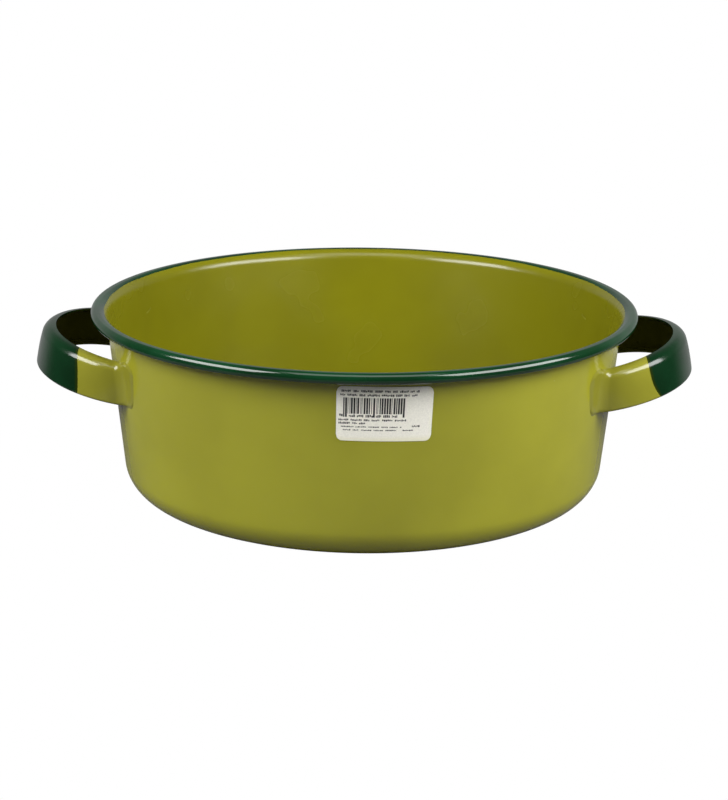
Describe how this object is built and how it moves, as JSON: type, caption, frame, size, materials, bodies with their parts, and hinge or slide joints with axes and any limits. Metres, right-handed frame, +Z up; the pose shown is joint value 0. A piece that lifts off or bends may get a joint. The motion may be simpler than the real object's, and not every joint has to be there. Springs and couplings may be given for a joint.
{
  "type": "two-handled round pan",
  "caption": "Round enamelled-steel pan with a tapered wall, rolled rim and a looped channel handle welded on each side.",
  "frame": {"origin": "middle of the flat base, on the plane the pan stands on", "axes": "+Z up along the pan's axis, the two handles along +X and -X, the label towards -Y"},
  "size_m": [0.3848, 0.318, 0.1092],
  "materials": {
    "lime_enamel": "glossy vitreous enamel on steel, lime green",
    "green_enamel": "glossy vitreous enamel on steel, dark green",
    "weld_steel": "bare spot-weld steel, hidden under the enamel",
    "label_paper": "semi-matt coated label paper"
  },
  "bodies": {
    "root": {"pan_shell": "lime_enamel", "rolled_rim": "green_enamel", "left_handle": "green_enamel", "right_handle": "green_enamel", "weld_left_front_upper": "weld_steel", "weld_left_front_lower": "weld_steel", "weld_left_back_upper": "weld_steel", "weld_left_back_lower": "weld_steel", "weld_right_front_upper": "weld_steel", "weld_right_front_lower": "weld_steel", "weld_right_back_upper": "weld_steel", "weld_right_back_lower": "weld_steel", "price_label": "label_paper"}
  },
  "joints": []
}
